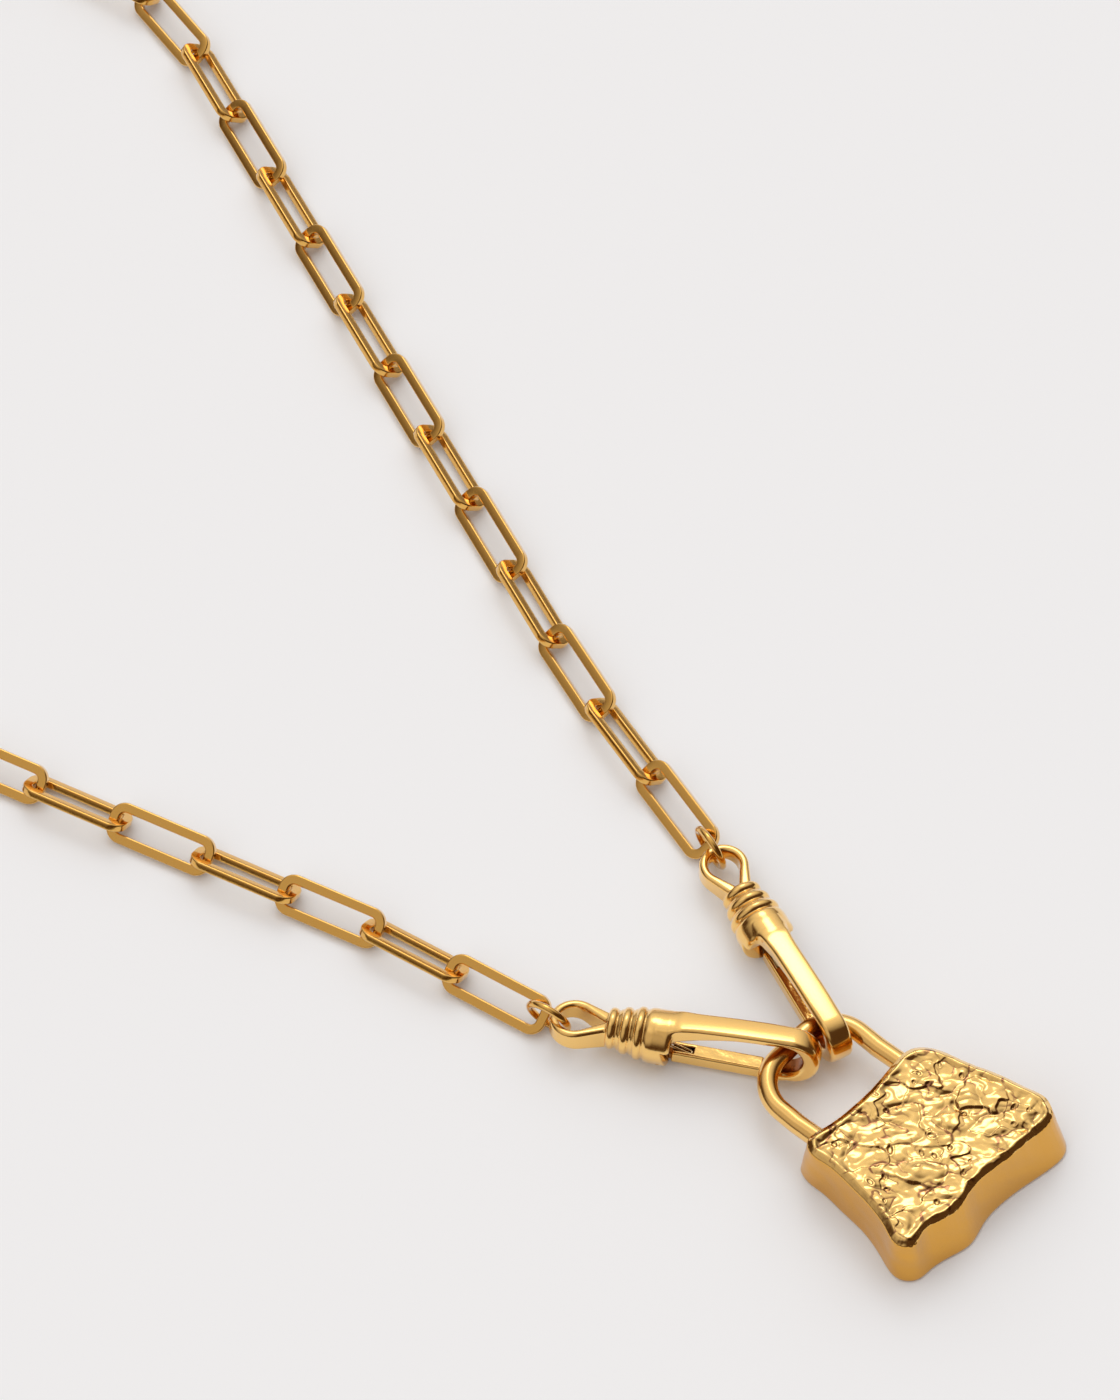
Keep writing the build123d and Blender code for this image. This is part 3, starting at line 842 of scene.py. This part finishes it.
def clip_body_field(x, y, z):
    """The cast clasp: eye, beads, collar, strap and hook, less the gate's slot and the pin marks."""
    seam = 0.04 + 0.5 * smoothstep(collar_end - 1.6, collar_end + 0.2, x)
    cast = join_soft(join_soft(eye_field(x, y, z), beads_field(x, y, z), 0.3), strap_field(x, y, z), seam)
    slot_start = pin_x - gate_knuckle - 2 * gate_clearance
    slot = overlap(np.abs(y) - gate_tongue / 2 - gate_clearance, slot_start - x,
                   x - collar_end - gate_clearance, z - slot_ceiling)
    cast = cut_soft(cast, slot, 0.14)
    mark = np.maximum(np.hypot(x - pin_x, z + pin_drop) - pin_mark, collar_radius - 1.0 - np.abs(y))
    return cut_soft(cast, mark, 0.1)


def gate_field(x, y, z):
    """The sprung lever: a rounded bar with a slot in its back, and the knuckle on its pin."""
    worn = 0.018 * noise(x * 0.9 + 5, y * 1.3, 41) + 0.004 * noise(x * 4, y * 4 + 3, 42)
    middle = (gate_top + gate_bottom) / 2
    half = (gate_bottom - gate_top) / 2
    start = collar_end + gate_clearance
    soft = np.where(z < -middle, gate_belly_soft, gate_soft)
    a = np.abs(y) - gate_width / 2 + soft
    b = np.abs(z + middle) - half + soft - np.where(z > -middle, worn, 0)
    bar = cut_soft(rounded(a, b, soft), -np.maximum(start - x, x - gate_end), 0.2)
    channel = overlap(np.abs(y) - slot_width / 2, -gate_top - slot_depth - z, x - collar_end - slot_length)
    bar = cut_soft(bar, channel, 0.12)
    disc = np.hypot(x - pin_x, z + pin_drop) - gate_knuckle
    web = overlap(pin_x - x, x - pin_x - pin_inset - 2 * gate_clearance,
                  -pin_drop - gate_knuckle - z, z + pin_drop)
    knuckle = slab(np.minimum(disc, web), y, gate_tongue / 2, 0.1)
    lever = join_soft(bar, knuckle, 0.1)
    return cut_soft(lever, np.hypot(x - pin_x, z + pin_drop) - pin_hole, 0.04)


def unpolished_and_shaded_clip(points):
    """1 in the hook's hole, under the strap and in the collar's slot, where no buff reaches; there the satin
    tone paints shade.
    """
    x, y, z = points.T
    hole = 1 - smoothstep(0.03, 0.14, np.hypot(x - hole_x, z - hook_height) - hook_inner)
    under = smoothstep(0.62, 0.8, strap_top(x) - z) * smoothstep(collar_end, collar_end + 0.5, x)
    between = 1 - smoothstep(strap_width / 2 - 0.2, strap_width / 2 - 0.08, np.abs(y))
    under *= (x < hole_x) * smoothstep(-0.6, -0.2, z) * between
    end_face = smoothstep(collar_end - 0.5, collar_end - 0.2, x) * (x < collar_end + 0.6) * (z < 1.2)
    end_face = 0.8 * end_face * (np.abs(y) < 1.0)
    return np.clip(np.maximum(np.maximum(hole, under), end_face), 0, 1)


def unpolished_and_shaded_gate(points):
    """1 inside the gate's slot, where the satin tone paints shade."""
    x, y, z = points.T
    between = 1 - smoothstep(slot_width / 2 + 0.02, slot_width / 2 + 0.1, np.abs(y))
    below = 1 - smoothstep(-gate_top - 0.12, -gate_top - 0.03, z)
    return between * below * (x < collar_end + slot_length + 0.1) * (z > -gate_bottom + 0.1)


def clips():
    """Both clasps and their gates."""
    body_points, body_faces = skin(clip_body_field, clip_room, clip_step)
    gate_points, gate_faces = skin(gate_field, gate_room, gate_step)
    for side in ("left", "right"):
        body = new_piece(f"clip_cast_{side}", into_place(body_points, side), body_faces)
        # Painted shade in the hook's hole, under the strap and in the collar's slot, which are also rougher.
        point_values(body, "satin_and_shade", unpolished_and_shaded_clip(body_points))
        finish_piece(body, "necklace", "clip_gold", clip_gold, f"clip_body_{side}")
        gate = new_piece(f"clip_lever_{side}", into_place(gate_points, side), gate_faces)
        # Painted shade in the gate's slot, which is also rougher.
        point_values(gate, "satin_and_shade", unpolished_and_shaded_gate(gate_points))
        finish_piece(gate, f"gate_{side}", "clip_gold", gate_gold, f"clip_gate_{side}")


def pins_and_springs():
    """The gates' pins and springs keep their CAD meshes."""
    for side in ("left", "right"):
        paint(frame["nodes"][f"gate_pin_{side}"], clip_gold)
        paint(frame["nodes"][f"gate_spring_{side}"], spring_bright)


# Padlock: outline and crumple
def closed_curve(points, count):
    """Evenly spaced points on a smooth closed curve through the given points."""
    points = np.array(points, float)
    size = len(points)
    runs = np.linalg.norm(np.roll(points, -1, 0) - points, axis=1)
    before = np.roll(runs, 1)
    matrix = np.zeros((size, size))
    right = np.zeros((size, 2))
    for i in range(size):
        ahead, behind = (i + 1) % size, (i - 1) % size
        matrix[i, behind], matrix[i, i], matrix[i, ahead] = before[i], 2 * (before[i] + runs[i]), runs[i]
        right[i] = 6 * ((points[ahead] - points[i]) / runs[i] - (points[i] - points[behind]) / before[i])
    bend = np.linalg.solve(matrix, right)
    place = np.linspace(0, size, count, endpoint=False)
    cell = place.astype(int)
    share = (place - cell)[:, None]
    run = runs[cell][:, None]
    a, b = points[cell], points[(cell + 1) % size]
    ma, mb = bend[cell], bend[(cell + 1) % size]
    return (a * (1 - share) + b * share
            + run ** 2 / 6 * (((1 - share) ** 3 - (1 - share)) * ma + (share ** 3 - share) * mb))


def outline_line(column, count):
    """Points on the body's outline, a quarter of them on each of the handbag shape's four sides."""
    table = [(row[column] * body_half_width, row[column + 1] * body_half_height) for row in body_outline]
    close = closed_curve(table, len(table) * curve_steps)
    close = np.vstack([close, close[:1]])
    spots = []
    for first, last in zip(side_corners, side_corners[1:]):
        stretch = close[int(first * curve_steps):int(last * curve_steps) + 1]
        runs = np.concatenate([[0], np.cumsum(np.linalg.norm(np.diff(stretch, axis=0), axis=1))])
        stops = np.linspace(0, runs[-1], count // 4, endpoint=False)
        spots.append(np.column_stack([np.interp(stops, runs, stretch[:, k]) for k in (0, 1)]))
    return np.vstack(spots)


def diagonal(x, y, size, stretch):
    """Coordinates along and across the falling diagonal, in cells of the size, longer along it."""
    return (x - y) / math.sqrt(2) / stretch / size, (x + y) / math.sqrt(2) / size


def plates(x, y, seed):
    """Crumpled plates, each with its own height and tilt, and how far each place lies under a step."""
    repeat = 64
    wander = 0.42
    u, v = diagonal(x, y, plate_size, plate_stretch)
    shifts = [wander * noise(u * 1.3 + 9 * k, v * 1.3, seed + k)
              + 0.11 * noise(u * 3.1, v * 3.1 + 5 * k, seed + 2 + k) for k in (0, 1)]
    u, v = u + shifts[0], v + shifts[1]
    tables = np.random.RandomState(seed + 7).uniform(-1, 1, (5, repeat, repeat))
    i, j = np.floor(u).astype(int), np.floor(v).astype(int)
    far, lift = [], []
    for di in (-1, 0, 1):
        for dj in (-1, 0, 1):
            a, b = (i + di) % repeat, (j + dj) % repeat
            du = u - (i + di + 0.5 + wander * tables[0][a, b])
            dv = v - (j + dj + 0.5 + wander * tables[1][a, b])
            far.append(np.hypot(du, dv))
            tilt = plate_tilt * plate_size * (tables[3][a, b] * du + tables[4][a, b] * dv)
            lift.append(plate_rise * tables[2][a, b] + tilt)
    far, lift = np.array(far), np.array(lift)
    share = np.exp(-(far - far.min(0)) * plate_size * 5 / plate_step)
    share /= share.sum(0)
    height = (share * lift).sum(0)
    foot = (share * np.maximum(lift - height, 0)).sum(0)
    return height, foot


def folds(x, y, seed, size, stretch):
    """Rounded lobes that meet in sharp valleys, and how near each point lies to a valley, in millimetres."""
    wander, shiver = 0.34, 0.07
    u, v = diagonal(x, y, size, stretch)
    u, v = (u + wander * noise(u * 1.1 + 3, v * 1.1, seed + 1)
            + shiver * noise(u * 2.7, v * 2.7 + 5, seed + 3),
            v + wander * noise(u * 1.1, v * 1.1 + 8, seed + 2)
            + shiver * noise(u * 2.7 + 7, v * 2.7, seed + 4))
    swell = noise(u, v, seed)
    return np.sqrt(swell ** 2 + 0.0016), np.abs(swell) * size / 1.4


def pits(x, y):
    """Small casting pits: for each one its hollow, its raised lip and its dark ring of painted shade."""
    dice = np.random.RandomState(7)
    for _ in range(pit_count):
        px, py = (dice.uniform(-reach, reach) for reach in pit_reach)
        radius, stretch, turn = dice.uniform(*pit_radii), dice.uniform(*pit_stretches), dice.uniform(0, np.pi)
        dx, dy = x - px, y - py
        u = (dx * math.cos(turn) + dy * math.sin(turn)) / stretch
        v = -dx * math.sin(turn) + dy * math.cos(turn)
        far = np.hypot(u, v) / radius
        hollow = 0.42 * radius * (1 - smoothstep(0.45, 1.0, far))
        lip = 0.12 * radius * np.exp(-((far - 1.2) / 0.3) ** 2)
        yield hollow, lip, 0.7 * np.exp(-((far - 0.75) / 0.2) ** 2)


def front_relief(x, y):
    """Height of the crumpled front, and the mask of painted shade: thin dark lines in its valleys, under its
    plates' steps and in its pits.
    """
    busy = smoothstep(-0.4, 0.35, noise(x / 3.3 + 4, y / 3.3, 5))
    height, foot = plates(x, y, 11)
    # Painted shade under each plate's step.
    crease_shade = 0.9 * smoothstep(0.010, 0.030, foot)
    for seed, size, stretch, rise, line, calm in fold_layers:
        lobe, near = folds(x, y, seed, size, stretch)
        share = calm + (1 - calm) * busy
        height = height + rise * share * lobe
        present = smoothstep(-0.25, 0.15, noise(x / 1.9 + size, y / 1.9, seed + 9)) * share
        crease_shade = np.maximum(crease_shade, present * (1 - smoothstep(line * 0.4, line, near)))
    height += 0.022 * noise(x / 0.8, y / 0.8, 52) + 0.003 * busy * noise(x / 0.36, y / 0.36, 53)
    for hollow, lip, ring in pits(x, y):
        height = height - hollow + lip
        crease_shade = np.maximum(crease_shade, ring)
    return height, np.clip(crease_shade, 0, 1)


# Padlock: body and shackle
def front_grid(line):
    """Spots on square rings shrunk from the outline, and for each ring the numbers of its spots."""
    spots, rings = [], []
    for ring in range(half_rings, 0, -1):
        share = 1 - (1 - ring / half_rings) ** 1.12
        stops = np.linspace(0, 1, 8 * ring, endpoint=False) * len(line)
        cell = stops.astype(int)
        part = (stops - cell)[:, None]
        rings.append(np.arange(len(stops)) + sum(len(r) for r in rings))
        spots.append((line[cell] * (1 - part) + line[(cell + 1) % len(line)] * part) * share)
    return np.vstack(spots + [[[0, 0]]]), rings


def grid_faces(rings, middle):
    """Faces between square rings: each ring has eight spots fewer than the one outside it."""
    faces = []
    for outer, inner in zip(rings, rings[1:] + [None]):
        side = len(outer) // 4
        for corner in range(4):
            here = [outer[(corner * side + k) % len(outer)] for k in range(-1, side)]
            if inner is None:
                within = [middle] * (side - 1)
            else:
                step = side - 2
                within = [inner[(corner * step + k) % len(inner)] for k in range(step + 1)]
            faces.append((here[0], here[1], here[2], within[0]))
            for k in range(1, side - 1):
                faces.append((here[k + 1], here[k + 2], within[k], within[k - 1]))
    return faces


def band_faces(bands, around):
    """Four-sided faces between rings of points that follow each other."""
    step = np.arange(around)
    after = (step + 1) % around
    faces = []
    for band in range(bands):
        a, b = band * around, (band + 1) * around
        faces += np.column_stack([a + step, a + after, b + after, b + step]).tolist()
    return faces


def padlock_body():
    """Body: flat back, drafted sides, a rim that is ragged at the bottom, and the crumpled front."""
    around = 8 * half_rings
    front_line, back_line = outline_line(0, around), outline_line(2, around)
    flat, rings = front_grid(front_line)
    x, y = flat.T
    distance = line_distance(x, y, front_line[::6])
    relief, crease_shade = front_relief(x, y)
    relief = np.clip(relief - np.percentile(relief, 99.5), -relief_depth, relief_crown)
    bottom = 0.25 + 0.75 * smoothstep(-4.0, -5.5, y)
    tear = 0.28 * noise(x / 1.3, y / 1.3, 61) + 0.07 * noise(x / 0.5, y / 0.5, 62)
    slope = body_rim * (1 + bottom * tear) - distance
    corner = np.clip(1 - distance / body_edge, 0, 1)
    drop = 0.5 * (slope + np.sqrt(slope ** 2 + 0.012)) + body_edge * (1 - np.sqrt(1 - corner ** 2))
    height = body_thickness - drop + relief * (0.06 + 0.94 * smoothstep(0.35, 1.2, distance))
    front = np.column_stack([flat, height])
    edge_height = height[:around]
    back_reach = np.linalg.norm(back_line, axis=1)
    sides = []
    for share in (0.0, 0.25, 0.5, 0.75, 1.0):
        angle = share * math.pi / 2
        ring = back_line * (1 - body_foot * (1 - math.sin(angle)) / back_reach)[:, None]
        sides.append(np.column_stack([ring, np.full(around, body_foot * (1 - math.cos(angle)))]))
    for share in np.linspace(0, 1, 20)[1:-1]:
        line = back_line + (front_line - back_line) * share
        swell = 0.05 * noise(line[:, 0] / 2.6 + 3 * share, line[:, 1] / 2.6 + 7, 71)
        swell *= math.sin(math.pi * share)
        line = line * (1 + swell / np.linalg.norm(line, axis=1))[:, None]
        sides.append(np.column_stack([line, body_foot + (edge_height - body_foot) * share]))
    below = len(sides) * around
    points = np.vstack(sides + [front])
    faces = [list(range(around))] + band_faces(len(sides), around)
    faces += grid_faces([ring + below for ring in rings], len(points) - 1)
    piece = new_piece("padlock_body", points, faces)
    # Painted shade in the front's valleys and pits, faded towards the rim.
    point_values(piece, "crease_shade", np.concatenate([np.zeros(below), crease_shade * smoothstep(0.1, 0.5, distance)]))
    # Sides and the rim's edge take the satin tone: rougher, and darker by painted shade.
    point_values(piece, "satin_and_shade", np.concatenate([np.ones(below), 1 - smoothstep(0.0, 0.1, distance)]))
    finish_piece(piece, "necklace", "padlock_gold", padlock_gold, "padlock")


def shackle_path():
    """Points on the shackle's middle line, close together, from its left leg round to its right one."""
    left, right = shackle_middle - shackle_span / 2, shackle_middle + shackle_span / 2
    corners = [(left + shackle_splay, shackle_root), (left, shackle_bend), (left, shackle_top),
               (right, shackle_top), (right, shackle_bend), (right + shackle_splay, shackle_root)]
    path = [np.array(corners[0])]
    for three in zip(corners, corners[1:], corners[2:]):
        corner, into, out, turn, cut = corner_cut(*three, shackle_corner)
        inner = np.array([into[1], -into[0]]) * np.sign(into[0] * out[1] - into[1] * out[0]) * -1
        centre = corner - into * cut + inner * shackle_corner
        for share in np.linspace(0, 1, 40 if turn > 1 else 6):
            spoke = -inner * math.cos(turn * share) + into * math.sin(turn * share)
            path.append(centre + spoke * shackle_corner)
    path.append(np.array(corners[-1]))
    close = [path[0]]
    for point in path[1:]:
        start = close[-1]
        pieces = max(int(np.linalg.norm(point - start) / shackle_step), 1)
        close += [start + (point - start) * (n + 1) / pieces for n in range(pieces)]
    return np.array(close)


def padlock_shackle():
    """Round-wire shackle, its legs sunk into the body with a little solder at the roots."""
    path = shackle_path()
    ahead = np.gradient(path, axis=0)
    ahead /= np.linalg.norm(ahead, axis=1)[:, None]
    sides = 44
    angle = np.linspace(0, 2 * np.pi, sides, endpoint=False)
    rings = []
    for index, (spot, run) in enumerate(zip(path, ahead)):
        solder = max(0.0, 1 - (spot[1] - solder_foot) / solder_reach)
        radius = shackle_wire / 2 + solder_width * solder ** 2
        radius += 0.018 * noise(np.cos(angle) * 0.7 + index * 0.05, np.sin(angle) * 0.7 + 9, 81)
        x = spot[0] + run[1] * np.cos(angle) * radius
        y = spot[1] - run[0] * np.cos(angle) * radius
        rings.append(np.column_stack([x, y, shackle_height + np.sin(angle) * radius]))
    faces = band_faces(len(rings) - 1, sides)
    faces += [list(range(sides)), list(range((len(rings) - 1) * sides, len(rings) * sides))]
    piece = new_piece("padlock_shackle", np.concatenate(rings), faces)
    finish_piece(piece, "necklace", "padlock_gold", shackle_gold, "padlock")


chain_links()
jump_rings()
clips()
padlock_body()
padlock_shackle()
pins_and_springs()


# Table, light and camera: distances in metres, lens and sensor in millimetres
table_reach = 6.0
table_drop = 0.00001
table_tone = (0.82, 0.87, 0.915, 1)
table_far_tone = (0.05, 0.045, 0.04, 1)
table_near = 0.15
table_far = 0.55
studio_lights = [
    # direction, cosine at its rim, cosine at its heart, strength, colour, profile
    ((0.45, 0.45, 0.77), 0.48, 1.0, 0.97, (1.0, 1.0, 1.0), "LINEAR"),
    ((0.45, 0.44, 0.78), 0.968, 0.999, 2.6, (1.0, 1.0, 1.0), "SMOOTHSTEP"),
    ((-0.68, 0.15, 0.72), 0.70, 0.97, 0.5, (1.0, 0.97, 0.93), "SMOOTHSTEP"),
]
studio_dark = (0.08, 0.045, 0.025)
studio_backdrop = (0.80, 0.80, 0.79, 1)
table_lamps = 1.57
view_target = Vector((13.55, 58.36, 0)) * MM
view_ahead = (0.3804, 0.3610, -0.8515)
view_distance = 0.5228
view_lens = 139.35
view_sensor = 36


def table():
    """A pale table; away from the object it is darker to everything but the camera."""
    plane = bpy.data.meshes.new("table")
    corners = [(x * table_reach, y * table_reach, -table_drop)
               for x, y in ((-1, -1), (1, -1), (1, 1), (-1, 1))]
    plane.from_pydata(corners, [], [(0, 1, 2, 3)])
    top = in_scene("table", plane)
    material = bpy.data.materials.new("table_paint")
    material.use_nodes = True
    tree = material.node_tree
    where = add_node(tree, "ShaderNodeTexCoord").outputs["Object"]
    length = vector_maths(tree, "LENGTH", {0: where}).outputs["Value"]
    away = mapped(tree, length, table_near, table_far, 1.0, "SMOOTHSTEP")
    seen = add_node(tree, "ShaderNodeLightPath").outputs["Is Camera Ray"]
    darker = maths(tree, "MULTIPLY", away, maths(tree, "SUBTRACT", 1.0, seen))
    fill(tree, tree.nodes["Principled BSDF"], {
        "Base Color": mixed_colour(tree, darker, table_tone, table_far_tone),
        "Roughness": 0.9,
        "Specular IOR Level": 0.1,
        "Emission Color": (1.0, 1.0, 1.0, 1),
        "Emission Strength": 0.05,
    })
    paint(top, material)


def surroundings():
    """The studio round the object: a wide soft light with a brighter heart, a weak one, dark elsewhere."""
    world = bpy.data.worlds.new("studio")
    bpy.context.scene.world = world
    world.use_nodes = True
    tree = world.node_tree
    tree.nodes.clear()
    where = add_node(tree, "ShaderNodeTexCoord").outputs["Generated"]
    lights = []
    for direction, rim, heart, strength, colour, profile in studio_lights:
        aim = vector_maths(tree, "DOT_PRODUCT", {0: where, 1: Vector(direction).normalized()})
        glow = mapped(tree, aim.outputs["Value"], rim, heart, strength, profile)
        lights.append(vector_maths(tree, "SCALE", {0: colour, "Scale": glow}).outputs["Vector"])
    total = lights[0]
    for light in lights[1:] + [studio_dark]:
        total = vector_maths(tree, "ADD", {0: total, 1: light}).outputs["Vector"]
    ray = add_node(tree, "ShaderNodeLightPath")
    lamps = maths(tree, "MULTIPLY_ADD", ray.outputs["Is Diffuse Ray"], table_lamps, 1.0)
    studio = add_node(tree, "ShaderNodeBackground", {"Color": total, "Strength": lamps})
    backdrop = add_node(tree, "ShaderNodeBackground", {"Color": studio_backdrop})
    choose = add_node(tree, "ShaderNodeMixShader", {
        0: ray.outputs["Is Camera Ray"], 1: studio.outputs[0], 2: backdrop.outputs[0]})
    add_node(tree, "ShaderNodeOutputWorld", {0: choose.outputs[0]})


def camera():
    """The photograph's view: from the lower left, about 58 degrees above the table."""
    ahead = Vector(view_ahead).normalized()
    lens = bpy.data.cameras.new("photo_view")
    lens.lens = view_lens
    lens.sensor_width = view_sensor
    lens.clip_start = 0.01
    view = in_scene("photo_view", lens)
    view.location = view_target - ahead * view_distance
    view.rotation_mode = "QUATERNION"
    view.rotation_quaternion = ahead.to_track_quat("-Z", "Y")
    bpy.context.scene.camera = view


table()
surroundings()
camera()
bpy.context.scene.view_settings.view_transform = "Standard"
